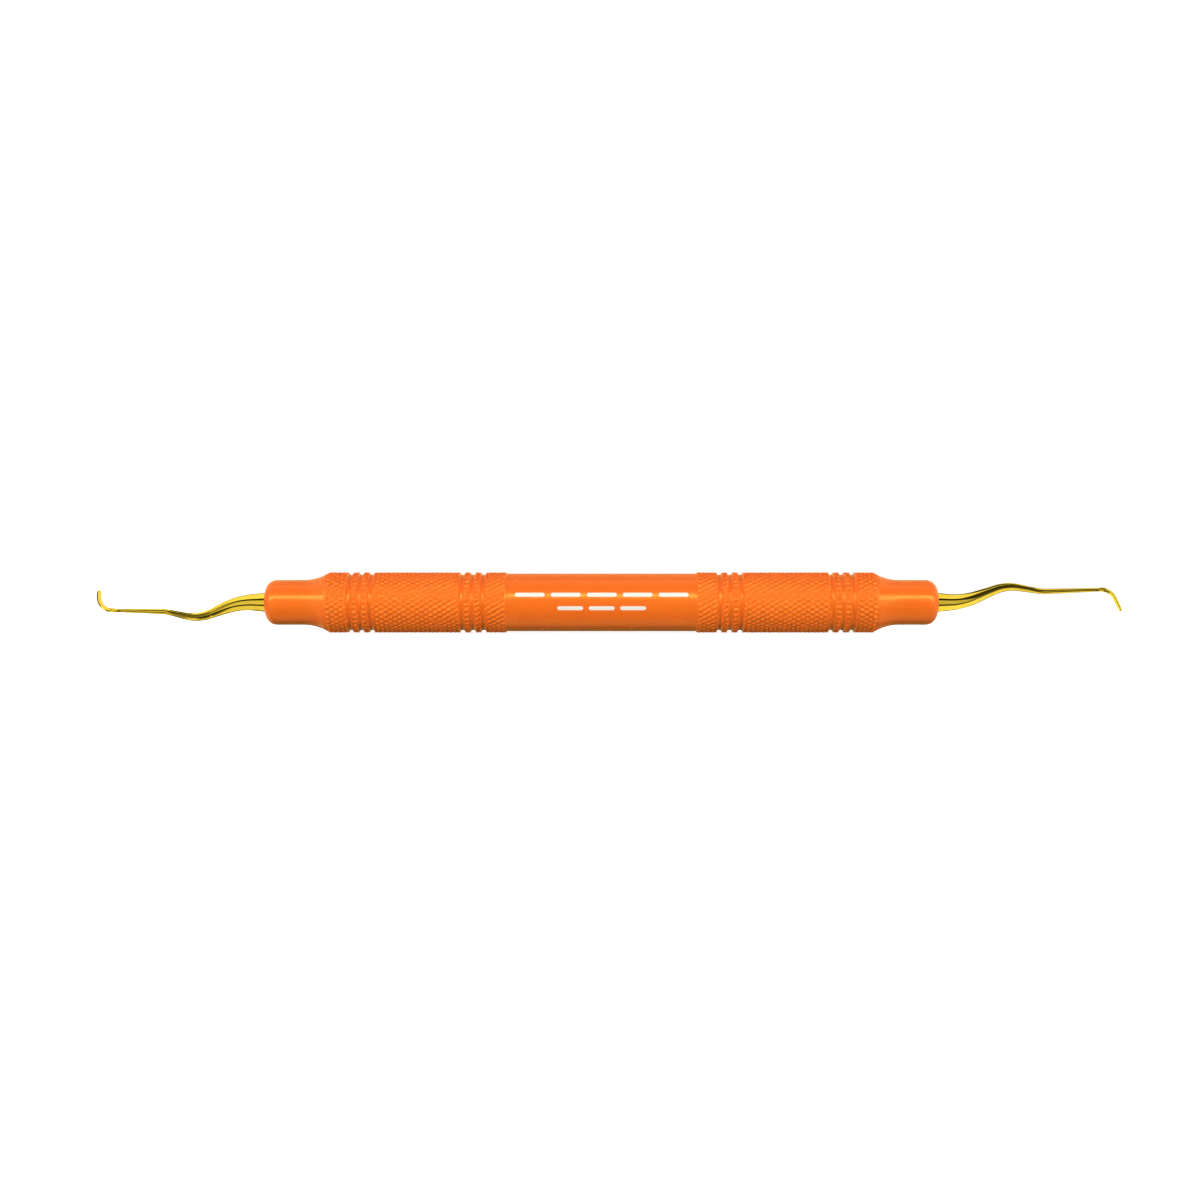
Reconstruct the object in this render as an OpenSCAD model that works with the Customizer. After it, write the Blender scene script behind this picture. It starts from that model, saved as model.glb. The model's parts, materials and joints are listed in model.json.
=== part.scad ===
// Double-ended periodontal hand scaler: a resin grip moulded over a steel core tube, with a bent,
// tapered working end bonded into each nose. Millimetres. +X runs along the handle, +Z is up, and
// the origin is on the handle's axis at mid-length.

/* [Handle] */
// Length of the handle between its flat end faces
handle_length = 106; // [100:1:114]
// Diameter over the knurled bands
grip_d = 9.525; // [9:0.025:10.5]
// Radial step from the knurled bands down to the plain middle barrel
barrel_step = 0.185; // [0.05:0.005:0.3]
// Length of the plain middle barrel
barrel_length = 29.8; // [24:0.2:32]
// Diameter of the plain nose at each end
nose_d = 7.1; // [6.6:0.1:7.6]
// Length of a nose with its flare, from the knurled band to the end face
nose_length = 10.1; // [9:0.1:11]
// Radius of the concave flare between the knurled band and the nose
flare_r = 7.7; // [6:0.1:8]
// Radius of the rounding at the end face
nose_round = 1.8; // [0.8:0.1:1.9]

/* [Finger grooves] */
// Distance from the middle barrel to the middle groove of the inner group
inner_inset = 5.3; // [4:0.1:6]
// Distance from the flare to the middle groove of the outer group
outer_inset = 5.1; // [4:0.1:6]
// Distance between neighbouring grooves
groove_pitch = 1.66; // [1.4:0.02:1.9]
// Radius of a groove's round section
groove_r = 0.43; // [0.42:0.01:0.6]
// Depth of a groove below the finger bands
groove_depth = 0.38; // [0.25:0.01:0.42]

/* [Core] */
// Outside diameter of the steel core tube
core_d = 5; // [4.8:0.1:5.4]
// Inside diameter of the steel core tube
core_bore_d = 4.2; // [4:0.1:4.3]
// Length of the core tube with both bushings
core_length = 96; // [90:1:97]
// Length of a bushing's sleeve inside the tube
bushing_length = 8; // [6:0.5:12]
// Diameter of the tang that is bonded into the handle
tang_d = 3.2; // [2.8:0.1:3.2]
// Length of the tang
tang_length = 15; // [13:0.5:18]
// Diameter of the nose's mouth, which the adhesive seal fills
mouth_d = 3.9; // [3.8:0.1:4.2]

/* [Working ends] */
// Width across the flats of the shank at the nose's end face
root_w = 3.06; // [2.6:0.02:3.2]
// Width across the flats where the root's flare ends
throat_w = 2.7; // [2.2:0.05:2.9]
// Width across the flats where the outer bend starts
bend_w = 1.5; // [1.2:0.05:1.8]
// Width across the flats at the start of the straight lower shank
lower_w = 0.96; // [0.8:0.02:1.1]
// Width across the flats just below the blade
neck_w = 0.62; // [0.5:0.02:0.7]
// Width of the blade's flat face
blade_w = 0.66; // [0.6:0.02:0.9]
// Depth of the blade from its face to its rounded back
blade_depth = 0.44; // [0.4:0.02:0.7]
// Length of the blade along its curve
blade_length = 5.8; // [3.6:0.1:6.4]
// Tilt of the blade's face about the blade's length, which gives it one lower cutting edge
face_tilt = 38; // [10:1:45]

/* [Hidden] */
$fn = 64;
grip_r = grip_d / 2;
barrel_r = grip_r - barrel_step;
nose_r = nose_d / 2;
end_x = handle_length / 2;
barrel_end = barrel_length / 2;
shoulder_x = end_x - nose_length;
flare_reach = sqrt(pow(flare_r, 2) - pow(flare_r - grip_r + nose_r, 2));
nose_x = shoulder_x + flare_reach;
flange = 1;
tube_end = core_length / 2 - flange;
over = 1;

// The tang stops just inside the end face, and the shank's octagon starts from there.
root_gap = 0.1;
tang_end = end_x - root_gap;
root_overlap = 0.5;
retention_depth = 0.2;
retention_w = 0.6;
retention_pitch = 2;

// Each bend is [distance beyond the end face, sideways, height, bend radius]; the last is the toe.
left_bends = [
    [4.2, 0, 0, 12],
    [10.7, 0.2, -2.59, 7],
    [15.9, 0.3, -1.46, 8],
    [26.6, 0.7, -1.2, 2.2],
    [26.7, 1.3, 1.9, 0]
];
right_bends = [
    [4.05, 0, 0, 12],
    [10.9, 0.2, -2.67, 7],
    [16.5, 0.3, -1.72, 8],
    [27.25, 0.7, -2.06, 2.2],
    [28.75, 1.3, 1.4, 0]
];
throat_at = 1.6;
bend_at = 8.8;
lower_at = 15;
bend_steps = 10;
ring_count = 70;
ring_crowding = 1.3;
sides = 8;
half_side = 180 / sides;
// The octagon turns by half a side along this stretch, which sets an edge in place of its side flat.
facet_turn = [14, 16.5];
blade_start = [0.5, 1];
face_height = 0.4;
toe_length = 0.55;
toe_share = 0.35;

function unit(v) = v / norm(v);
function place(p) = [p[0], p[1], p[2]];
function smooth(x, from, to) =
    let (t = max(0, min(1, (x - from) / (to - from)))) t * t * (3 - 2 * t);
function turned(p, angle) =
    [p[0] * cos(angle) - p[1] * sin(angle), p[0] * sin(angle) + p[1] * cos(angle)];

// Points on the arc of radius p[3] that rounds the corner at p between its neighbours a and b.
function bend(a, p, b) =
    let (
        into = unit(place(p) - place(a)),
        out = unit(place(b) - place(p)),
        turn = acos(into * out),
        start = place(p) - into * p[3] * tan(turn / 2),
        inward = unit(out - into * (out * into))
    )
    [for (i = [0:bend_steps])
        let (at = turn * i / bend_steps)
        start + into * p[3] * sin(at) + inward * p[3] * (1 - cos(at))];

// The centre line from inside the nose to the toe, with every corner rounded.
function centre_line(bends) =
    let (corners = concat([[-root_gap - root_overlap, 0, 0, 0]], bends), last = len(corners) - 1)
    concat(
        [place(corners[0])],
        [for (i = [1:last - 1]) each bend(corners[i - 1], corners[i], corners[i + 1])],
        [place(corners[last])]
    );

// The run length from the end face to each point of a line that starts inside the nose.
function run_lengths(line, i = 0, run = -root_gap - root_overlap) =
    i == len(line) ? [] :
    let (here = i == 0 ? run : run + norm(line[i] - line[i - 1]))
    concat([here], run_lengths(line, i + 1, here));

function point_at(line, runs, s) =
    [for (axis = [0:2]) lookup(s, [for (i = [0:len(line) - 1]) [runs[i], line[i][axis]]])];

function shank_width(s, total) =
    lookup(s, [
        [0, root_w], [throat_at, throat_w], [bend_at, bend_w], [lower_at, lower_w],
        [total - blade_length, neck_w]
    ]);

// A corner of the shank's octagon.
function shank_point(angle, width) = width / 2 / cos(half_side) * [cos(angle), sin(angle)];

// A corner of the blade's section, which is flat on its face and round on its back.
function blade_point(angle) =
    [blade_w / 2 * cos(angle), blade_depth * (min(0, sin(angle)) + face_height)];

// One ring of the sweep at run length s.
function ring(line, runs, s, total) =
    let (
        step = 0.05,
        ahead = unit(point_at(line, runs, min(total, s + step)) - point_at(line, runs, s - step)),
        side = unit([0, 1, 0] - ahead * ahead[1]),
        inner = cross(ahead, side),
        blade_from = total - blade_length,
        blade_share = smooth(s, blade_from - blade_start[0], blade_from + blade_start[1]),
        phase = half_side * (1 - smooth(s, facet_turn[0], facet_turn[1])),
        toe = max(0, (s - total) / toe_length + 1),
        size = toe_share + (1 - toe_share) * sqrt(1 - toe * toe)
    )
    [for (i = [0:sides - 1])
        let (
            angle = 360 * i / sides + phase,
            shape = (1 - blade_share) * shank_point(angle, shank_width(s, total))
                + blade_share * blade_point(angle),
            p = turned(shape, face_tilt * blade_share) * size
        )
        point_at(line, runs, s) + side * p[0] + inner * p[1]];

module shank(bends) {
    line = centre_line(bends);
    runs = run_lengths(line);
    total = runs[len(runs) - 1];
    points = [for (i = [0:ring_count])
        each ring(line, runs, total + (runs[0] - total) * pow(1 - i / ring_count, ring_crowding), total)];
    skin = [for (i = [0:ring_count - 1], j = [0:sides - 1])
        let (a = i * sides + j, b = i * sides + (j + 1) % sides)
        each [[a, b + sides, b], [a, a + sides, b + sides]]];
    root_cap = [for (j = [0:sides - 1]) j];
    toe_cap = [for (j = [sides - 1:-1:0]) ring_count * sides + j];
    polyhedron(points, concat([root_cap], skin, [toe_cap]));
}

module along_x() {
    rotate([0, 90, 0]) children();
}

// A round pin with retention grooves that key the adhesive.
module tang() {
    translate([tang_end - tang_length, 0, 0]) along_x() difference() {
        cylinder(h = tang_length, d = tang_d);
        for (i = [1:3]) translate([0, 0, retention_pitch * i]) difference() {
            cylinder(h = retention_w, d = tang_d + over);
            translate([0, 0, -over])
                cylinder(h = retention_w + 2 * over, d = tang_d - 2 * retention_depth);
        }
    }
}

module working_end(bends) {
    color("gold") union() {
        tang();
        translate([end_x, 0, 0]) shank(bends);
    }
}

// The two ends are mirror twins, as on every scaler of this kind.
module working_end_left() {
    mirror([1, 0, 0]) working_end(left_bends);
}

module working_end_right() {
    rotate([180, 0, 0]) working_end(right_bends);
}

// Half of the grip's outline: radius along X, distance from mid-length along Y.
module grip_outline() {
    difference() {
        union() {
            square([barrel_r, nose_x]);
            polygon([
                [0, barrel_end], [barrel_r, barrel_end], [grip_r, barrel_end + barrel_step],
                [grip_r, nose_x], [0, nose_x]
            ]);
            square([nose_r, end_x]);
        }
        translate([nose_r + flare_r, nose_x]) circle(flare_r);
        translate([nose_r - nose_round, end_x - nose_round]) difference() {
            square(2 * nose_round);
            circle(nose_round);
        }
        for (group = [barrel_end + inner_inset, shoulder_x - outer_inset], i = [-1:1])
            translate([grip_r + groove_r - groove_depth, group + groove_pitch * i]) circle(groove_r);
        square([core_d / 2, core_length / 2]);
        square([mouth_d / 2, end_x + over]);
    }
}

module grip() {
    color("darkorange") rotate([0, -90, 0]) {
        rotate_extrude() grip_outline();
        mirror([0, 0, 1]) rotate_extrude() grip_outline();
    }
}

module core_tube() {
    color("silver") along_x() difference() {
        cylinder(h = 2 * tube_end, d = core_d, center = true);
        cylinder(h = 2 * (tube_end + over), d = core_bore_d, center = true);
    }
}

// A flanged sleeve that centres the tang in the core tube.
module bushing() {
    color("lightsteelblue") translate([tube_end - bushing_length, 0, 0]) along_x() difference() {
        union() {
            cylinder(h = bushing_length + flange, d = core_bore_d);
            translate([0, 0, bushing_length]) cylinder(h = flange, d = core_d);
        }
        translate([0, 0, -over]) cylinder(h = bushing_length + flange + 2 * over, d = tang_d);
    }
}

module bushing_left() {
    mirror([1, 0, 0]) bushing();
}

module bushing_right() {
    bushing();
}

// The cured adhesive that fills the nose's mouth round the tang.
module adhesive_seal() {
    seal_start = core_length / 2;
    seal_length = tang_end - seal_start;
    color("dimgray") translate([seal_start, 0, 0]) along_x() difference() {
        cylinder(h = seal_length, d = mouth_d);
        translate([0, 0, -over]) cylinder(h = seal_length + 2 * over, d = tang_d);
    }
}

module adhesive_seal_left() {
    mirror([1, 0, 0]) adhesive_seal();
}

module adhesive_seal_right() {
    adhesive_seal();
}

grip();
core_tube();
bushing_left();
bushing_right();
working_end_left();
working_end_right();
adhesive_seal_left();
adhesive_seal_right();
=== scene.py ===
import json
import math

import bpy
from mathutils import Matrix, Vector


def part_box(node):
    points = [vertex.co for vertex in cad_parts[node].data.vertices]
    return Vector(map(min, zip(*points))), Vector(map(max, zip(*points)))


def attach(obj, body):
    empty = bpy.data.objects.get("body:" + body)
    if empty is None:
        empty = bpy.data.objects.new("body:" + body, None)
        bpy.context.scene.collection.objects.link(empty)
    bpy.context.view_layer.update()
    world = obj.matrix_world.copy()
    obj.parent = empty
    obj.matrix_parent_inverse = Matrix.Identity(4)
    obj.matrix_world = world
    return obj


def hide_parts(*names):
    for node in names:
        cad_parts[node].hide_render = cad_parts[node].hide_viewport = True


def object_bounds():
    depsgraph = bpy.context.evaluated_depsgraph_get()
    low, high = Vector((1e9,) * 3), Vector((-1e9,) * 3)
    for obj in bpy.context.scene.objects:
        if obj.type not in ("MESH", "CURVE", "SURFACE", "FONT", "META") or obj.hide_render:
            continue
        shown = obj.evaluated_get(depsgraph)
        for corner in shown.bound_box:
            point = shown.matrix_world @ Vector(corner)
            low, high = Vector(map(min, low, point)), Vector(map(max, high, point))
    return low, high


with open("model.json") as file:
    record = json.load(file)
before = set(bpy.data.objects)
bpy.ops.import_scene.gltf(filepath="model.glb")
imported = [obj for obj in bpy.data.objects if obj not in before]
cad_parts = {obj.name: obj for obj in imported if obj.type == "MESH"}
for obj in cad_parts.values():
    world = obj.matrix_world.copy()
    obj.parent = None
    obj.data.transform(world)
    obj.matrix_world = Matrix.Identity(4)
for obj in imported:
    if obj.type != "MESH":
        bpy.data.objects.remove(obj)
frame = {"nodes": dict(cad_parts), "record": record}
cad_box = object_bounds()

# Everything below is in metres unless its comment says otherwise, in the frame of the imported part: +X along
# the handle, +Z up.
MM = 0.001
MOUNTS = {m["name"]: m for m in frame["record"]["mounts"]}
EIGHTH_TURN = math.pi / 4

# ---------------------------------------------------------------- sizes of the handle
END_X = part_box("grip")[1][0]
GRIP_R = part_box("grip")[1][2]
NOSE_R = MOUNTS["nose_right"]["dims"]["r_mm"] * MM
BARREL_R = MOUNTS["barrel_band"]["dims"]["r_mm"] * MM
BARREL_END = MOUNTS["barrel_band"]["dims"]["length_mm"] * MM / 2
RISE_END = BARREL_END + GRIP_R - BARREL_R
CORE_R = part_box("core_tube")[1][2]
CORE_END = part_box("adhesive_seal_right")[0][0]
MOUTH_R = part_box("adhesive_seal_right")[1][2]
MOUTH_LIP = 0.06 * MM
SHOULDER_X = END_X - 10.1 * MM
FLARE_R = 7.7 * MM
NOSE_ROUND = 1.8 * MM
NOSE_X = SHOULDER_X + math.sqrt(FLARE_R**2 - (FLARE_R - GRIP_R + NOSE_R) ** 2)

# The finger grooves: three near each end of each knurled band.
GROOVE_R = 0.43 * MM
GROOVE_DEPTH = 0.38 * MM
GROOVE_EDGE = 0.03 * MM
GROOVE_REACH = 1.4 * GROOVE_R
GROOVE_PITCH = 1.66 * MM
GROOVES = sorted(
    middle + GROOVE_PITCH * i
    for middle in (BARREL_END + 5.3 * MM, SHOULDER_X - 5.1 * MM)
    for i in (-1, 0, 1)
)

# The knurl: two crossing families of grooves, in a grid of KNURL_STEPS points to a diamond. Near the barrel
# the second family is shallower by KNURL_SHALLOW, which fades out over KNURL_FADE_LENGTH.
KNURL_COUNT = 35
KNURL_PITCH = 1.4 * MM
KNURL_DEPTH = 0.3 * MM
KNURL_STEPS = 6
KNURL_END = SHOULDER_X + 0.4 * MM
KNURL_EDGE = 0.12 * MM
KNURL_SHALLOW = 0.24
KNURL_FADE_LENGTH = 25 * MM
CREST_WIDTH = 1.25
CREST_ROUND = 1.5
AROUND = KNURL_COUNT * KNURL_STEPS


def clamp(t):
    return max(0.0, min(1.0, t))


def smooth(x, start, end):
    """0 before start, 1 after end and a smooth step between them."""
    t = clamp((x - start) / (end - start))
    return t * t * (3 - 2 * t)


def turned(u, v, angle):
    """The point (u, v) turned about the origin."""
    return u * math.cos(angle) - v * math.sin(angle), u * math.sin(angle) + v * math.cos(angle)


def lookup(x, table):
    """Linear interpolation in [(x, value), ...], held constant past both ends."""
    if x <= table[0][0]:
        return table[0][1]
    for (x0, v0), (x1, v1) in zip(table, table[1:]):
        if x <= x1:
            return v0 + (v1 - v0) * (x - x0) / (x1 - x0)
    return table[-1][1]


# ---------------------------------------------------------------- meshes
def side_faces(rings, count, closed):
    """Quads between neighbouring rings of count points; closed also joins the last ring to the first."""
    faces = []
    for i in range(rings if closed else rings - 1):
        a, b = i * count, (i + 1) % rings * count
        for j in range(count):
            k = (j + 1) % count
            faces.append((a + j, b + j, b + k, a + k))
    return faces


def add_cap(verts, faces, start, count, order):
    """Closes the ring that begins at start with a fan round its middle; order is 1 or -1."""
    verts.append(sum((Vector(verts[start + j]) for j in range(count)), Vector()) / count)
    hub = len(verts) - 1
    for j in range(count):
        pair = (start + j, start + (j + 1) % count)
        faces.append((*pair[::order], hub))


def add_run_map(mesh, runs, count):
    """A UV map with the run length in mm along U and the share of the way round the section along V."""
    layer = mesh.uv_layers.new(name="run")
    for polygon in mesh.polygons:
        at_seam = any(mesh.loops[i].vertex_index % count == count - 1 for i in polygon.loop_indices)
        for i in polygon.loop_indices:
            row, column = divmod(mesh.loops[i].vertex_index, count)
            if at_seam and column == 0:
                column = count
            layer.data[i].uv = (runs[min(row, len(runs) - 1)] / MM, column / count)


def rings_to_mesh(name, rings, closed, runs=None):
    """A mesh from rings of points. closed joins the last ring to the first; otherwise both are capped."""
    count = len(rings[0])
    verts = [p for ring in rings for p in ring]
    faces = side_faces(len(rings), count, closed)
    if not closed:
        add_cap(verts, faces, 0, count, 1)
        add_cap(verts, faces, (len(rings) - 1) * count, count, -1)
    mesh = bpy.data.meshes.new(name)
    mesh.from_pydata([tuple(v) for v in verts], [], faces)
    if runs:
        add_run_map(mesh, runs, count)
    mesh.shade_smooth()
    mesh.validate()
    return mesh


def add_piece(name, mesh, material, node=None):
    piece = bpy.data.objects.new(name, mesh)
    bpy.context.collection.objects.link(piece)
    mesh.materials.append(material)
    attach(piece, "root")
    if node:
        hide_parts(node)
    return piece


def store(mesh, name, values):
    """Keeps one number for each vertex, for the material to read."""
    layer = mesh.attributes.new(name, "FLOAT", "POINT")
    layer.data.foreach_set("value", values)


# ---------------------------------------------------------------- grip
def groove_share(x):
    """How deep in a round-bottomed finger groove x is: 0 outside it, a soft edge, and 1 at its middle."""
    gap = min(abs(x - groove) for groove in GROOVES)
    if gap >= GROOVE_REACH:
        return 0.0
    depth = math.sqrt(max(0.0, GROOVE_R**2 - gap**2)) - GROOVE_R + GROOVE_DEPTH
    return (depth + math.hypot(depth, GROOVE_EDGE)) / 2 / GROOVE_DEPTH


def outline(x):
    """Radius of the grip, without its knurl, at a distance x from mid-length."""
    if x < BARREL_END:
        radius = BARREL_R
    elif x < SHOULDER_X:
        radius = min(GRIP_R, BARREL_R + (x - BARREL_END))
    elif x < NOSE_X:
        radius = NOSE_R + FLARE_R - math.sqrt(FLARE_R**2 - (NOSE_X - x) ** 2)
    else:
        radius = NOSE_R
    return radius - GROOVE_DEPTH * groove_share(x)


def knurl_share(x):
    """How much of the knurl's depth there is at x: none on the barrel, the nose and in the grooves."""
    share = smooth(x, RISE_END, RISE_END + KNURL_EDGE)
    share *= 1 - smooth(x, KNURL_END - 2 * KNURL_EDGE, KNURL_END)
    for groove in GROOVES:
        share *= smooth(abs(x - groove), GROOVE_R - KNURL_EDGE / 2, GROOVE_R + KNURL_EDGE)
    return share


def saw(t):
    """0 on each groove line and 1 halfway between two lines."""
    return 1 - abs(2 * (t - math.floor(t)) - 1)


def knurl_height(x, turn):
    """Height of the knurl from 0 in its grooves to 1 on its crests; turn is in diamonds round the handle."""
    rising = saw(x / KNURL_PITCH - turn)
    falling = saw(x / KNURL_PITCH + turn)
    shallow = KNURL_SHALLOW * (1 - clamp((abs(x) - BARREL_END) / KNURL_FADE_LENGTH))
    height = min(rising, falling + shallow)
    return 1 - (1 - clamp(height * CREST_WIDTH)) ** CREST_ROUND


def half_stations():
    """Distances from mid-length of the rings on one half of the grip's outside, up to the nose."""
    tiny = 0.05 * MM
    found = [BARREL_END * i / 6 for i in range(1, 6)]
    for corner in (BARREL_END, RISE_END, SHOULDER_X):
        found += [corner - tiny, corner + tiny]
    for groove in GROOVES:
        found += [groove + GROOVE_R * math.sin(math.pi / 14 * i) for i in range(-7, 8)]
        found += [groove - 1.15 * GROOVE_R, groove + 1.15 * GROOVE_R]
    found += [KNURL_END + (NOSE_X - KNURL_END) * i / 8 for i in range(1, 9)]
    found += [NOSE_X + (END_X - NOSE_ROUND - NOSE_X) * i / 3 for i in range(1, 3)]
    step = KNURL_PITCH / KNURL_STEPS
    lattice = [step * i for i in range(int(RISE_END / step), int(KNURL_END / step) + 2)]
    clear = [x for x in lattice if x > RISE_END and min(abs(x - t) for t in found) > 0.3 * step]
    return sorted(found + clear)


def nose_profile():
    """Distance and radius along the right nose's rounded end, its mouth and the step to the core's bore."""
    rounded = []
    for i in range(9):
        a = math.radians(90 * i / 8)
        radius = NOSE_R - NOSE_ROUND * (1 - math.cos(a))
        if radius > MOUTH_R + 1.5 * MOUTH_LIP:
            rounded.append((END_X - NOSE_ROUND * (1 - math.sin(a)), radius))
    mouth = [(END_X, MOUTH_R + MOUTH_LIP), (END_X - MOUTH_LIP, MOUTH_R)]
    return rounded + mouth + [(CORE_END, MOUTH_R), (CORE_END, CORE_R)]


def grip_profile():
    """Once round the grip's section: distance, radius and share of the knurl's depth."""
    half = half_stations()
    outside = [-x for x in reversed(half)] + [0.0] + half
    nose = nose_profile()
    profile = [(x, outline(abs(x)), knurl_share(abs(x))) for x in outside]
    profile += [(x, r, 0) for x, r in nose]
    profile += [(-x, r, 0) for x, r in reversed(nose)]
    return profile


def grip_mesh():
    """The whole moulding as one closed skin: outside, end faces, mouths and the bore for the core."""
    rings, heights, shares, grooves = [], [], [], []
    for x, radius, share in grip_profile():
        shares += [share] * AROUND
        grooves += [groove_share(abs(x))] * AROUND
        ring = []
        for j in range(AROUND):
            dip = 1 - knurl_height(x, j / KNURL_STEPS) if share else 0.0
            r = radius - KNURL_DEPTH * share * dip
            angle = 2 * math.pi * j / AROUND
            ring.append((x, -r * math.cos(angle), r * math.sin(angle)))
            heights.append(1 - share * dip)
        rings.append(ring)
    mesh = rings_to_mesh("grip_body", rings, closed=True)
    store(mesh, "knurl_height", heights)
    store(mesh, "knurl_share", shares)
    store(mesh, "groove", grooves)
    return mesh


# ---------------------------------------------------------------- working ends
# Each bend is (distance beyond the end face, sideways, height, bend radius) in mm; the last is the toe.
BENDS = {
    "left": [
        (4.2, 0, 0, 12), (10.7, 0.2, -2.59, 7), (15.9, 0.3, -1.46, 8),
        (26.6, 0.7, -1.2, 2.2), (26.7, 1.3, 1.9, 0),
    ],
    "right": [
        (4.05, 0, 0, 12), (10.9, 0.2, -2.67, 7), (16.5, 0.3, -1.72, 8),
        (27.25, 0.7, -2.06, 2.2), (28.75, 1.3, 1.4, 0),
    ],
}

# The tang, inside the handle, with three retention grooves. Run lengths start at the handle's end face.
TANG_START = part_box("working_end_right")[0][0] - END_X
TANG_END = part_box("adhesive_seal_right")[1][0] - END_X
TANG_R = 1.6 * MM
TANG_CHAMFER = 0.2 * MM
TANG_GROOVE_PITCH = 2 * MM
TANG_GROOVE_LENGTH = 0.6 * MM
TANG_GROOVE_DEPTH = 0.2 * MM

# The shank: its width at some run lengths, and its octagon's shape in the upper part and in the lower part.
NECK_W = 0.62 * MM
SHANK_WIDTHS = [(0, 3.06 * MM), (1.6 * MM, 2.7 * MM), (8.8 * MM, 1.5 * MM), (15 * MM, 0.96 * MM)]
LOWER_FROM, LOWER_TO = 14 * MM, 17 * MM
CORNER_ROUND, LOWER_ROUND = 0.15, 0.26
FRONT_FACET, LOWER_FRONT = 0.34, 0.4
FACET_CROWN = 0.022
# How quickly the painted corner shade fades from the middle of a rounded corner to its facets.
CORNER_SHADE_FADE = 1.4

# The shank is twisted by BEND_TWIST between the run lengths TWIST_IN and back again between TWIST_OUT.
BEND_TWIST = math.radians(11)
TWIST_IN = (2 * MM, 9 * MM)
TWIST_OUT = (15 * MM, 16.5 * MM)

# The blade, into which the shank turns over BLADE_BLEND, measured from where the blade starts.
BLADE_W = 0.66 * MM
BLADE_DEPTH = 0.44 * MM
BLADE_LENGTH = 5.8 * MM
BLADE_BLEND = (-0.5 * MM, 1 * MM)
BLADE_FULLNESS = 0.38
FACE_TILT = math.radians(38)
FACE_HEIGHT = 0.4
TOE_LENGTH = 0.55 * MM
TOE_SHARE = 0.35

# Rings along the sweep, crowded towards the toe.
SWEEP_STEPS = 230
SWEEP_CROWDING = 1.25


def bend_arc(before, corner, after, radius, steps=24):
    """Points on the arc that rounds the corner between its neighbours."""
    into, out = (corner - before).normalized(), (after - corner).normalized()
    turn = into.angle(out)
    start = corner - into * radius * math.tan(turn / 2)
    inward = (out - into * out.dot(into)).normalized()
    arc = []
    for i in range(steps + 1):
        angle = turn * i / steps
        arc.append(start + into * radius * math.sin(angle) + inward * radius * (1 - math.cos(angle)))
    return arc


def centre_line(bends):
    """The centre line from the tang's outer end to the toe, with the run length to each point."""
    corners = [Vector((TANG_END, 0, 0))] + [Vector(b[:3]) * MM for b in bends]
    line = [corners[0]]
    for i in range(1, len(corners) - 1):
        line += bend_arc(corners[i - 1], corners[i], corners[i + 1], bends[i - 1][3] * MM)
    line.append(corners[-1])
    runs = [TANG_END]
    for a, b in zip(line, line[1:]):
        runs.append(runs[-1] + (b - a).length)
    return line, runs


def point_at(line, runs, s):
    return Vector([lookup(s, list(zip(runs, [p[axis] for p in line]))) for axis in range(3)])


def octagon_corners(width, front):
    """Corners of a square on edge whose own corners are cut off by facets of front times the width."""
    half, cut = width / 2, width / 2 * front
    return [
        turned(half, side, quarter * math.pi / 2)
        for quarter in range(4)
        for side in (-cut, cut)
    ]


def corner_arc(corner, first, radius):
    """Points with corner weights round a rounded corner; first is the angle its first facet faces."""
    middle = first + EIGHTH_TURN / 2
    away = radius / math.cos(EIGHTH_TURN / 2)
    hub = (corner[0] - away * math.cos(middle), corner[1] - away * math.sin(middle))
    arc = []
    for share in (0, 0.25, 0.5, 0.75, 1):
        angle = first + EIGHTH_TURN * share
        point = (hub[0] + radius * math.cos(angle), hub[1] + radius * math.sin(angle))
        arc.append((point, 1 - CORNER_SHADE_FADE * abs(share - 0.5)))
    return arc


def crowned_facet(start, end, facing):
    """Points along a slightly crowned facet that faces the angle facing. Their corner weight is 0."""
    across, up = end[0] - start[0], end[1] - start[1]
    length = math.hypot(across, up)
    facet = []
    for t in (0.1, 0.5, 0.9):
        lift = FACET_CROWN * length * 4 * t * (1 - t)
        point = (start[0] + across * t + lift * math.cos(facing), start[1] + up * t + lift * math.sin(facing))
        facet.append((point, 0.0))
    return facet


def octagon(width, rounding, front):
    """The shank's section as points with corner weights, 1 on a corner and 0 on a facet, which place painted
    shade on the corners.
    """
    arcs = [
        corner_arc(corner, EIGHTH_TURN * (i - 1), rounding * width)
        for i, corner in enumerate(octagon_corners(width, front))
    ]
    found = []
    for i, arc in enumerate(arcs):
        following = arcs[(i + 1) % len(arcs)]
        found += arc + crowned_facet(arc[-1][0], following[0][0], EIGHTH_TURN * i)
    return found


def shank_section(s, total):
    """The octagon at run length s. Its corners get rounder and its front facets wider in the lower part."""
    lower = smooth(s, LOWER_FROM, LOWER_TO)
    return octagon(
        lookup(s, SHANK_WIDTHS + [(total - BLADE_LENGTH, NECK_W)]),
        CORNER_ROUND + (LOWER_ROUND - CORNER_ROUND) * lower,
        FRONT_FACET + (LOWER_FRONT - FRONT_FACET) * lower,
    )


def shank_twist(s):
    """How far the section is turned about the centre line: the shank is twisted through its big bend."""
    return -BEND_TWIST * smooth(s, *TWIST_IN) * (1 - smooth(s, *TWIST_OUT))


def blade_section(angle):
    """A point of the blade's section: a flat face, flattened flanks and a round back."""
    u, v = math.cos(angle), math.sin(angle)
    across = math.copysign(abs(u) ** BLADE_FULLNESS, u)
    depth = -(abs(v) ** BLADE_FULLNESS) if v < 0 else 0.0
    return (BLADE_W / 2 * across, BLADE_DEPTH * (depth + FACE_HEIGHT))


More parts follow.
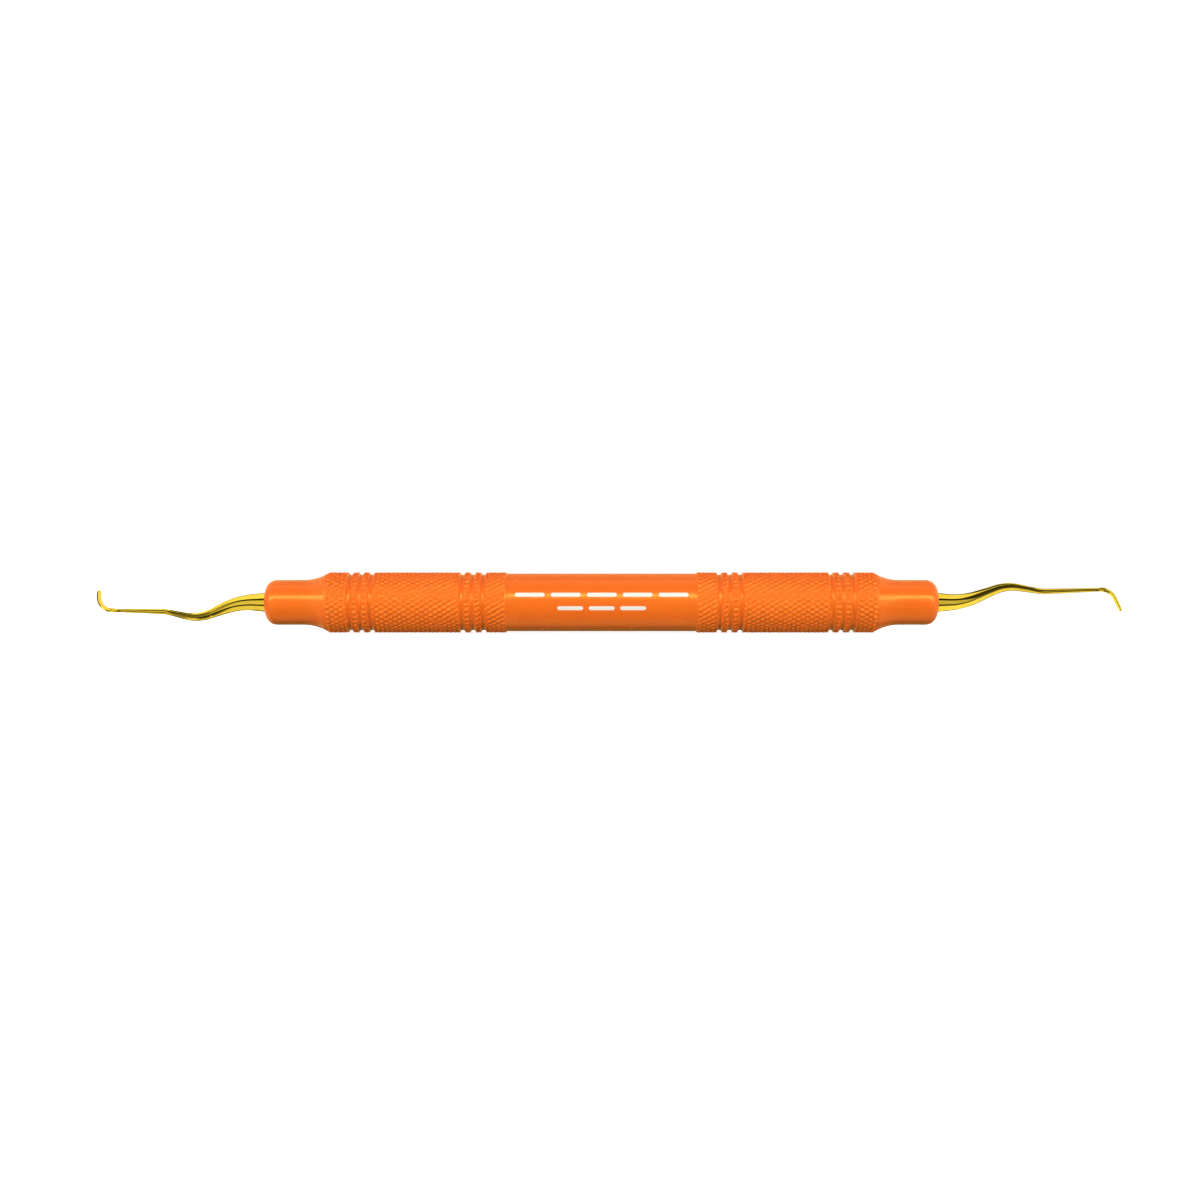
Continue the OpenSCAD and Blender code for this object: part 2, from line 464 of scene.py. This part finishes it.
def section_at(s, total):
    """The section at run length s as points across and along the bend plane, with their corner weights."""
    share = smooth(s - (total - BLADE_LENGTH), *BLADE_BLEND)
    toe = clamp((s - total) / TOE_LENGTH + 1)
    size = TOE_SHARE + (1 - TOE_SHARE) * math.sqrt(1 - toe * toe)
    found = []
    for (u, v), corner in shank_section(s, total):
        blade_u, blade_v = blade_section(math.atan2(v, u))
        shank_u, shank_v = turned(u, v, shank_twist(s))
        mixed_u = shank_u + (blade_u - shank_u) * share
        mixed_v = shank_v + (blade_v - shank_v) * share
        across, along = turned(mixed_u, mixed_v, FACE_TILT * share)
        found.append(((across * size, along * size), corner * (1 - share)))
    return found


def tang_stations():
    """Run length and radius of the tang's rings, with its chamfer and retention grooves."""
    floor = TANG_R - TANG_GROOVE_DEPTH
    found = [(TANG_START, TANG_R - TANG_CHAMFER), (TANG_START + TANG_CHAMFER, TANG_R)]
    for i in (1, 2, 3):
        start = TANG_START + TANG_GROOVE_PITCH * i
        end = start + TANG_GROOVE_LENGTH
        found += [(start, TANG_R), (start, floor), (end, floor), (end, TANG_R)]
    return found + [(TANG_END, TANG_R)]


def tang_ring(s, radius, count):
    """A round ring whose points line up with those of the octagon."""
    angles = [2 * math.pi * j / count - 3 * EIGHTH_TURN / 4 for j in range(count)]
    return [Vector((s, radius * math.cos(a), radius * math.sin(a))) for a in angles]


def swept_ring(line, runs, s):
    """The section at run length s, set square to the centre line, and its corner weights."""
    near = 0.03 * MM
    before = point_at(line, runs, max(runs[0], s - near))
    after = point_at(line, runs, min(runs[-1], s + near))
    ahead = (after - before).normalized()
    side = (Vector((0, 1, 0)) - ahead * ahead.y).normalized()
    inner = ahead.cross(side)
    centre = point_at(line, runs, s)
    section = section_at(s, runs[-1])
    ring = [centre + side * u + inner * v for (u, v), _ in section]
    return ring, [corner for _, corner in section]


def working_end_mesh(name, bends, place):
    """Tang, shank and blade swept as one closed skin; place moves a point to where it is in the part."""
    line, runs = centre_line(bends)
    count = len(octagon(NECK_W, CORNER_ROUND, FRONT_FACET))
    rings, stations, corners = [], [], []
    for s, radius in tang_stations():
        rings.append(tang_ring(s, radius, count))
        stations.append(s)
        corners += [0.0] * count
    for i in range(SWEEP_STEPS + 1):
        s = runs[-1] + (runs[0] - runs[-1]) * (1 - i / SWEEP_STEPS) ** SWEEP_CROWDING
        ring, weights = swept_ring(line, runs, s)
        rings.append(ring)
        stations.append(s)
        corners += weights
    placed = [[place(p) for p in ring] for ring in rings]
    mesh = rings_to_mesh(name, placed, closed=False, runs=stations)
    corners += [0.0] * (len(mesh.vertices) - len(corners))
    # The corner weights, which the gold turns into painted shade along the shank's corners.
    store(mesh, "corner", corners)
    mesh.set_sharp_from_angle(angle=math.radians(38))
    return mesh


# ---------------------------------------------------------------- marking
# Rows of bars: (height, start of the first bar, length of a bar, pitch, number of bars), in mm. The bars'
# underside is sunk into the barrel, and their ends stay a little open so that the grid doesn't collapse.
MARK_ROWS = [(1.2, -13.5, 4.7, 5.6, 5), (-0.9, -6.9, 4.1, 4.9, 3)]
MARK_HEIGHT = 0.62 * MM
MARK_INK = 0.012 * MM
MARK_SUNK = 0.01 * MM
MARK_END = 0.04 * MM
MARK_ACROSS, MARK_UP = 24, 4


def bar_height(from_end):
    """Height of a bar at a distance from its nearer end, which is round."""
    gap = 1 - min(1, from_end / (MARK_HEIGHT / 2))
    return max(MARK_HEIGHT * math.sqrt(max(0.0, 1 - gap**2)), MARK_END)


def bar_sheet(start, end, middle, radius):
    """A grid of points in the shape of a bar, on a cylinder about the handle's axis."""
    sheet = []
    for i in range(MARK_ACROSS + 1):
        x = start + (end - start) * i / MARK_ACROSS
        height = bar_height(min(x - start, end - x))
        for j in range(MARK_UP + 1):
            angle = math.asin((middle + height * (j / MARK_UP - 0.5)) / BARREL_R)
            sheet.append((x, -radius * math.cos(angle), radius * math.sin(angle)))
    return sheet


def bar_faces(base):
    """Faces of a bar whose two sheets of points begin at base: its underside, its top and its rim."""
    row = MARK_UP + 1
    sheet = (MARK_ACROSS + 1) * row
    faces = []
    for i in range(MARK_ACROSS):
        for j in range(MARK_UP):
            a = base + i * row + j
            b = a + sheet
            faces.append((a, a + 1, a + row + 1, a + row))
            faces.append((b, b + row, b + row + 1, b + 1))
    rim = [base + i * row for i in range(MARK_ACROSS + 1)]
    rim += [base + MARK_ACROSS * row + j for j in range(1, MARK_UP + 1)]
    rim += [base + i * row + MARK_UP for i in range(MARK_ACROSS - 1, -1, -1)]
    rim += [base + j for j in range(MARK_UP - 1, 0, -1)]
    for a, b in zip(rim, rim[1:] + rim[:1]):
        faces.append((a, b, b + sheet, a + sheet))
    return faces


def marking_mesh():
    """Two rows of plain bars printed on the barrel's front, in place of lettering."""
    verts, faces = [], []
    for middle, first, length, pitch, count in MARK_ROWS:
        for i in range(count):
            start = first + pitch * i
            faces += bar_faces(len(verts))
            for radius in (BARREL_R - MARK_SUNK, BARREL_R + MARK_INK):
                verts += bar_sheet(start * MM, (start + length) * MM, middle * MM, radius)
    mesh = bpy.data.meshes.new("marking")
    mesh.from_pydata(verts, [], faces)
    mesh.validate()
    mesh.shade_smooth()
    mesh.set_sharp_from_angle(angle=math.radians(40))
    return mesh


# ---------------------------------------------------------------- materials
WHITE = (1, 1, 1, 1)
ORANGE, ORANGE_MOTTLE = (0.84, 0.126, 0.014, 1), (0.855, 0.129, 0.015, 1)
# The dark root orange is painted shade for the knurl's roots; the pale groove orange is a painted lift against
# the shade in the finger grooves.
ORANGE_ROOT_SHADE, ORANGE_GROOVE_LIFT = (0.62, 0.08, 0.006, 1), (0.88, 0.155, 0.018, 1)
ORANGE_FLECK = (0.95, 0.25, 0.05, 1)
ORANGE_GLINT = (1.0, 0.7, 0.12, 1)
ORANGE_DEPTHS = (1.0, 0.35, 0.1)
# The dark corner gold is painted shade for the dark reflections along the shank's corners.
GOLD, GOLD_CLOUD, GOLD_CORNER_SHADE = (0.90, 0.62, 0.045, 1), (0.95, 0.68, 0.065, 1), (0.16, 0.095, 0.006, 1)
TUBE_STEEL, BUSHING_STEEL = (0.62, 0.62, 0.64), (0.56, 0.57, 0.6)
EPOXY, EPOXY_CLOUD = (0.20, 0.06, 0.012, 1), (0.30, 0.09, 0.02, 1)
INK, INK_WORN = (0.95, 0.88, 0.78, 1), (0.9, 0.5, 0.28, 1)
PALE_GREY = (0.8, 0.8, 0.8, 1)
YELLOW = (1, 0.96, 0.45, 1)
BLACK = (0, 0, 0, 1)
STAGE_GLOW = 1.1


class Nodes:
    """A short way to write a node tree."""

    def __init__(self, tree):
        self.tree = tree
        self.shader = tree.nodes.get("Principled BSDF")

    def add(self, kind):
        return self.tree.nodes.new(kind)

    def link(self, a, b):
        self.tree.links.new(a, b)

    def feed(self, socket, value):
        """Links value to socket, or sets it if it is a plain number or colour."""
        if isinstance(value, (int, float, tuple)):
            socket.default_value = value
        else:
            self.link(value, socket)

    def set(self, **values):
        """Sets or links inputs of the shader; an underscore stands for a space."""
        for key, value in values.items():
            self.feed(self.shader.inputs[key.replace("_", " ")], value)

    def noise(self, scale, coords, detail=4.0, roughness=0.5):
        node = self.add("ShaderNodeTexNoise")
        node.inputs["Scale"].default_value = scale
        node.inputs["Detail"].default_value = detail
        node.inputs["Roughness"].default_value = roughness
        self.link(coords, node.inputs["Vector"])
        return node.outputs["Fac"]

    def spread(self, value, low, high, to_low, to_high):
        """value taken from the range low to high to the range to_low to to_high, and held at both ends."""
        node = self.add("ShaderNodeMapRange")
        for name, number in (("From Min", low), ("From Max", high), ("To Min", to_low), ("To Max", to_high)):
            node.inputs[name].default_value = number
        self.link(value, node.inputs["Value"])
        return node.outputs["Result"]

    def band(self, value, low, high, soft, strength):
        """strength where value is between low and high, fading to nothing over soft on either side."""
        up = self.spread(value, low - soft, low, 0, strength)
        return self.times(up, self.spread(value, high, high + soft, 1, 0))

    def mix(self, share, a, b):
        node = self.add("ShaderNodeMix")
        node.data_type = "RGBA"
        self.feed(node.inputs[0], share)
        self.feed(node.inputs[6], a)
        self.feed(node.inputs[7], b)
        return node.outputs[2]

    def math(self, operation, a, b=0):
        node = self.add("ShaderNodeMath")
        node.operation = operation
        self.feed(node.inputs[0], a)
        self.feed(node.inputs[1], b)
        return node.outputs[0]

    def plus(self, a, b):
        return self.math("ADD", a, b)

    def times(self, a, b):
        return self.math("MULTIPLY", a, b)

    def bump(self, height, strength, distance, normal=None):
        node = self.add("ShaderNodeBump")
        node.inputs["Strength"].default_value = strength
        node.inputs["Distance"].default_value = distance
        self.link(height, node.inputs["Height"])
        if normal:
            self.link(normal, node.inputs["Normal"])
        return node.outputs["Normal"]

    def attribute(self, name):
        node = self.add("ShaderNodeAttribute")
        node.attribute_name = name
        return node.outputs["Fac"]

    def position(self):
        return self.add("ShaderNodeTexCoord").outputs["Object"]

    def uv(self, name):
        node = self.add("ShaderNodeUVMap")
        node.uv_map = name
        return node.outputs["UV"]

    def stretched(self, coords, scale):
        node = self.add("ShaderNodeMapping")
        node.inputs["Scale"].default_value = scale
        self.link(coords, node.inputs["Vector"])
        return node.outputs["Vector"]


def new_material(name):
    material = bpy.data.materials.new(name)
    material.use_nodes = True
    return material, Nodes(material.node_tree)


def resin_colour(n, at):
    """Orange with a faint mottle, painted shade in the knurl roots, a painted lift in the finger grooves
    against their shade, and flecks on the crests.
    """
    height = n.attribute("knurl_height")
    mottle = n.spread(n.noise(420, at, 3), 0.35, 0.65, 0, 1)
    # Painted shade, deepest in the knurl's roots.
    root = n.spread(height, 0.0, 0.8, 0.24, 0.0)
    # Painted lift: the finger grooves are paler, against the redder shade inside them.
    groove = n.times(n.attribute("groove"), 0.6)
    crest = n.times(n.spread(height, 0.9, 1.0, 0, 1), n.attribute("knurl_share"))
    speck = n.spread(n.noise(2600, at, 2), 0.6, 0.75, 0, 1)
    fleck = n.times(n.times(crest, speck), 0.25)
    body = n.mix(root, n.mix(mottle, ORANGE, ORANGE_MOTTLE), ORANGE_ROOT_SHADE)
    return n.mix(fleck, n.mix(groove, body, ORANGE_GROOVE_LIFT), ORANGE_FLECK)


def resin_roughness(n, at):
    """Satin, duller on the knurl and a little duller in the finger grooves."""
    satin = n.spread(n.noise(900, at, 4), 0.3, 0.7, 0.24, 0.275)
    knurl = n.times(n.attribute("knurl_share"), 0.18)
    groove = n.times(n.attribute("groove"), 0.03)
    return n.plus(n.plus(satin, knurl), groove)


def resin_material():
    """Satin orange moulding with a fine moulded grain and faint lengthwise scuffs."""
    material, n = new_material("resin_orange")
    at = n.position()
    n.set(Specular_IOR_Level=0.5, Specular_Tint=ORANGE_GLINT)
    n.set(Subsurface_Weight=0.08, Subsurface_Scale=0.0006, Subsurface_Radius=ORANGE_DEPTHS)
    grain = n.bump(n.noise(5200, at, 3), 0.05, 0.00001)
    scuffs = n.noise(1, n.stretched(at, (300, 2600, 2600)), 2)
    n.set(Base_Color=resin_colour(n, at), Roughness=resin_roughness(n, at))
    n.set(Normal=n.bump(scuffs, 0.012, 0.00001, grain))
    return material


def gold_material():
    """Nitride-coated steel: polished gold with fine lengthwise polishing lines, and painted shade along the
    corners that stands in for dark reflections there.
    """
    material, n = new_material("coated_steel_gold")
    lines = n.noise(1, n.stretched(n.uv("run"), (1.2, 260, 1)), 3, 0.6)
    cloud = n.spread(n.noise(700, n.position(), 3), 0.35, 0.65, 0, 1)
    # Painted shade: darker gold along the rounded corners, for the dark reflections between facets.
    corner = n.spread(n.attribute("corner"), 0.25, 0.7, 0.0, 0.9)
    n.set(Metallic=1.0, Anisotropic=0.35)
    n.set(Base_Color=n.mix(corner, n.mix(cloud, GOLD, GOLD_CLOUD), GOLD_CORNER_SHADE))
    n.set(Roughness=n.spread(lines, 0.3, 0.7, 0.05, 0.11), Normal=n.bump(lines, 0.1, 0.000004))
    return material


def steel_material(name, colour, rough):
    """Drawn or turned stainless steel with lengthwise lines."""
    material, n = new_material(name)
    lines = n.noise(1, n.stretched(n.position(), (60, 3000, 3000)), 3)
    n.set(Metallic=1.0, Anisotropic=0.3)
    n.set(Base_Color=n.mix(lines, tuple(0.88 * c for c in colour) + (1,), colour + (1,)))
    n.set(Roughness=n.spread(lines, 0.3, 0.7, rough - 0.05, rough + 0.07))
    n.set(Normal=n.bump(lines, 0.1, 0.000005))
    return material


def adhesive_material():
    """Cured dark epoxy with a slightly uneven skin."""
    material, n = new_material("epoxy")
    cloud = n.noise(1500, n.position(), 3)
    n.set(Base_Color=n.mix(cloud, EPOXY, EPOXY_CLOUD))
    n.set(Roughness=n.spread(cloud, 0.3, 0.7, 0.3, 0.45), Normal=n.bump(cloud, 0.3, 0.00002))
    return material


def ink_material():
    """White pad-printed ink, a little uneven where it has worn."""
    material, n = new_material("ink_white")
    at = n.position()
    wear = n.spread(n.noise(2600, at, 4, 0.65), 0.62, 0.72, 0, 0.35)
    n.set(Base_Color=n.mix(wear, INK, INK_WORN))
    n.set(Roughness=n.spread(n.noise(1800, at, 2), 0.3, 0.7, 0.42, 0.56))
    n.set(Normal=n.bump(n.noise(6000, at, 2), 0.2, 0.000004))
    return material


def floor_material():
    """Plain pale tabletop, lit evenly towards its far edge."""
    material, n = new_material("pale_floor")
    distance = n.add("ShaderNodeVectorMath")
    distance.operation = "LENGTH"
    n.link(n.position(), distance.inputs[0])
    n.set(Base_Color=PALE_GREY, Roughness=0.9, Specular_IOR_Level=0.1)
    n.set(Emission_Color=WHITE)
    n.set(Emission_Strength=n.spread(distance.outputs["Value"], 0.12, 0.3, 0.6, STAGE_GLOW))
    return material


def wall_material():
    """Evenly lit white surround."""
    material, n = new_material("white_surround")
    n.set(Base_Color=BLACK, Emission_Color=WHITE, Emission_Strength=STAGE_GLOW)
    return material


# ---------------------------------------------------------------- the object
def on_left(p):
    """Mirrored onto the left nose."""
    return Vector((-p.x - END_X, p.y, p.z))


def on_right(p):
    """Turned half round the handle's axis, on the right nose."""
    return Vector((p.x + END_X, -p.y, -p.z))


def add_working_end(side, place, gold):
    """The sweep's faces point inwards. Mirroring turns the left end's outwards; the right end's are flipped."""
    name = "working_end_" + side
    mesh = working_end_mesh(name + "_steel", BENDS[side], place)
    if side == "right":
        mesh.flip_normals()
    add_piece(name + "_steel", mesh, gold, name)


def finish_inner_pieces():
    """Better materials for the CAD pieces that are kept."""
    bushing, epoxy = steel_material("bushing_steel", BUSHING_STEEL, 0.26), adhesive_material()
    finishes = {
        "core_tube": steel_material("tube_steel", TUBE_STEEL, 0.3),
        "bushing_left": bushing,
        "bushing_right": bushing,
        "adhesive_seal_left": epoxy,
        "adhesive_seal_right": epoxy,
    }
    for node, material in finishes.items():
        for slot in frame["nodes"][node].material_slots:
            slot.material = material


def build_object():
    resin, gold = resin_material(), gold_material()
    grip = add_piece("grip_body", grip_mesh(), resin, "grip")
    add_piece("print_marking", marking_mesh(), ink_material())
    add_working_end("left", on_left, gold)
    add_working_end("right", on_right, gold)
    finish_inner_pieces()
    return grip


# ---------------------------------------------------------------- stage
FLOOR_LEVEL = cad_box[0][2]
FLOOR_HALF = 3.0
WALL_R = 2.6
WALL_HEIGHT = 2.6
WALL_SIDES = 64
WALL_OVERLAP = 0.01


def stage_piece(name, verts, faces, material):
    """A piece of the pale set. Only the camera sees it: the object's light comes from the studio alone."""
    mesh = bpy.data.meshes.new(name)
    mesh.from_pydata(verts, [], faces)
    mesh.materials.append(material)
    thing = bpy.data.objects.new(name, mesh)
    thing.visible_diffuse = False
    thing.visible_glossy = False
    thing.visible_shadow = False
    bpy.context.collection.objects.link(thing)
    return thing


def add_floor():
    corners = [(-1, -1), (1, -1), (1, 1), (-1, 1)]
    verts = [(x * FLOOR_HALF, y * FLOOR_HALF, FLOOR_LEVEL) for x, y in corners]
    floor = stage_piece("floor", verts, [(0, 1, 2, 3)], floor_material())


def add_surround():
    """A white wall all round, far behind the lights."""
    verts, faces = [], []
    for i in range(WALL_SIDES):
        a = 2 * math.pi * i / WALL_SIDES
        x, y = WALL_R * math.cos(a), WALL_R * math.sin(a)
        verts += [(x, y, FLOOR_LEVEL - WALL_OVERLAP), (x, y, FLOOR_LEVEL + WALL_HEIGHT)]
        b = 2 * ((i + 1) % WALL_SIDES)
        faces.append((2 * i, b, b + 1, 2 * i + 1))
    wall = stage_piece("surround", verts, faces, wall_material())


# ---------------------------------------------------------------- studio
# The world is what the object reflects: pale panels with dark gaps between them. A panel lies between two
# values of turn, the angle in degrees about the handle's axis (0 towards the viewer, 90 above, 180 behind),
# or of x or z, which are how far the direction points to the right or up. left is 1 on the left and 0 on
# the right.


def panels_above(n, x, turn):
    """A panel overhead, and a dimmer one nearer the viewer over a narrow range to the right."""
    overhead = n.band(turn, 80, 101, 3, 1.0)
    nearer = n.times(n.band(turn, 52, 74, 6, 0.6), n.band(x, 0.1, 0.21, 0.02, 1.0))
    return n.plus(overhead, nearer)


def panels_behind(n, x, turn, left):
    """A panel above and behind. It reaches further forward at the left and right; the far left has none."""
    sides = n.plus(left, n.spread(x, 0.42, 0.5, 0, 1))
    panel = n.plus(n.band(turn, 116, 181, 4, 0.85), n.times(n.band(turn, 101, 116, 3, 0.8), sides))
    return n.times(panel, n.spread(x, -0.86, -0.8, 0, 1))


def panels_ahead(n, x, z):
    """Four low panels side by side at the handle's level, on the viewer's side and behind."""
    level = n.spread(n.math("ABSOLUTE", z), 0.14, 0.2, 1, 0)
    left_half = n.plus(n.band(x, -0.49, -0.25, 0.03, 0.64), n.band(x, -0.22, 0.12, 0.03, 0.95))
    right_half = n.plus(n.band(x, 0.27, 0.44, 0.02, 0.6), n.band(x, 0.13, 0.2, 0.015, 0.4))
    return n.times(level, n.plus(left_half, right_half))


def panels_beside(n, x, z):
    """A tall panel to the right, and one to the left that is below the handle's level."""
    tall = n.spread(n.math("ABSOLUTE", z), 0.36, 0.44, 1, 0)
    right = n.times(tall, n.band(x, 0.48, 1.1, 0.03, 0.72))
    low_left = n.times(n.band(z, -0.7, -0.06, 0.06, 1.0), n.band(x, -0.89, -0.42, 0.02, 1.0))
    return n.plus(right, low_left)


def panels_below(n, x, turn, left):
    """Panels below, below and behind, and nearer the viewer on the right half; brighter to the right."""
    under = n.band(n.math("SUBTRACT", turn, n.times(left, 8)), -104, -76, 10, 1.0)
    behind = n.band(turn, -181, -138, 12, 0.45)
    nearer = n.times(n.band(turn, -70, -54, 8, 0.7), n.spread(x, 0.0, 0.06, 0, 1))
    together = n.times(n.plus(n.plus(under, behind), nearer), n.spread(x, -0.3, 0.3, 0.75, 1.05))
    return n.times(together, n.spread(x, -0.5, -0.42, 0, 1))


def all_panels(n, x, z, turn, left):
    """The panels together, nowhere brighter than 1.05, with nothing at the far left."""
    high = n.plus(panels_above(n, x, turn), panels_behind(n, x, turn, left))
    around = n.plus(panels_ahead(n, x, z), panels_beside(n, x, z))
    high_left = n.times(n.band(turn, 24, 80, 6, 1.0), n.band(x, -0.86, -0.53, 0.04, 1.0))
    total = n.plus(n.plus(high, n.plus(around, panels_below(n, x, turn, left))), high_left)
    return n.times(n.math("MINIMUM", total, 1.05), n.spread(x, -0.97, -0.9, 0, 1))


def add_studio():
    """The world, with its panels, a weak glow in the gaps and a yellower light from behind."""
    world = bpy.data.worlds.new("studio")
    world.use_nodes = True
    world.cycles_visibility.diffuse = False
    bpy.context.scene.world = world
    n = Nodes(world.node_tree)
    parts = n.add("ShaderNodeSeparateXYZ")
    n.link(n.add("ShaderNodeTexCoord").outputs["Generated"], parts.inputs[0])
    x, y, z = parts.outputs
    turn = n.math("DEGREES", n.math("ARCTAN2", z, n.times(y, -1)))
    left = n.spread(x, -0.28, -0.2, 1, 0)
    glow = n.plus(n.times(left, 0.1), 0.045)
    background = n.tree.nodes["Background"]
    n.link(n.mix(n.spread(y, 0.1, 0.4, 0, 1), WHITE, YELLOW), background.inputs["Color"])
    n.link(n.plus(all_panels(n, x, z, turn, left), glow), background.inputs["Strength"])


# ---------------------------------------------------------------- lights and camera
LAMP_SIZE = (1.0, 0.5)
STRIP_SIZE = (3.2, 0.11)
BOUNCE_SIZE = (2.0, 0.4)
FILL_SIZE = (1.6, 0.6)
BOUNCE_COLOUR = (0.55, 1.0, 0.3)
CAMERA_DISTANCE = 0.3
CAMERA_SIDE = -0.22 * MM
CAMERA_HEIGHT = 0.38 * MM
VIEW_WIDTH = 0.1896
SENSOR_MM = 36
CLIP_START = 0.005


def add_light(name, place, size, radiance, glossy=False, only=None):
    """A soft rectangular light that faces the handle. A glossy one only shows in reflections."""
    lamp = bpy.data.lights.new(name, "AREA")
    lamp.shape = "RECTANGLE"
    lamp.size, lamp.size_y = size
    lamp.energy = radiance * math.pi * size[0] * size[1]
    light = bpy.data.objects.new(name, lamp)
    light.location = place
    light.rotation_euler = (-Vector(place)).to_track_quat("-Z", "Y").to_euler()
    light.visible_camera = False
    light.visible_diffuse = not glossy
    light.visible_glossy = glossy
    if only:
        group = bpy.data.collections.new(name + "_lights")
        group.objects.link(only)
        light.light_linking.receiver_collection = group
    bpy.context.collection.objects.link(light)
    return light


def in_front(distance, elevation):
    """A place on the viewer's side, at an elevation in degrees above the line of sight."""
    e = math.radians(elevation)
    return (0, -distance * math.cos(e), distance * math.sin(e))


def add_lights(grip):
    for side, sign in (("left", -1), ("right", 1)):
        add_light("key_" + side, (sign * 0.8, -0.55, 0.14), LAMP_SIZE, 6.4)
    add_light("top_fill", (0, 0, 0.9), FILL_SIZE, 1.5)
    for side, sign in (("left", -1), ("right", 1)):
        add_light("back_" + side, (sign * 0.7, 0.7, 0.3), LAMP_SIZE, 4.0)
    bounce = add_light("warm_bounce", in_front(0.9, -25), BOUNCE_SIZE, 1.7, only=grip)
    bounce.data.color = BOUNCE_COLOUR
    add_light("key_strip", in_front(0.7, 27), STRIP_SIZE, 21.0, glossy=True, only=grip)


def add_camera():
    """Square to the handle, level with it, as far off as the perspective of the picture needs."""
    camera = bpy.data.cameras.new("camera")
    camera.sensor_width = SENSOR_MM
    camera.lens = SENSOR_MM * CAMERA_DISTANCE / VIEW_WIDTH
    camera.clip_start = CLIP_START
    view = bpy.data.objects.new("camera", camera)
    view.location = (CAMERA_SIDE, -CAMERA_DISTANCE, CAMERA_HEIGHT)
    view.rotation_euler = (math.pi / 2, 0, 0)
    bpy.context.collection.objects.link(view)
    bpy.context.scene.camera = view
    bpy.context.scene.view_settings.view_transform = "Standard"


grip = build_object()
add_floor()
add_surround()
add_studio()
add_lights(grip)
add_camera()
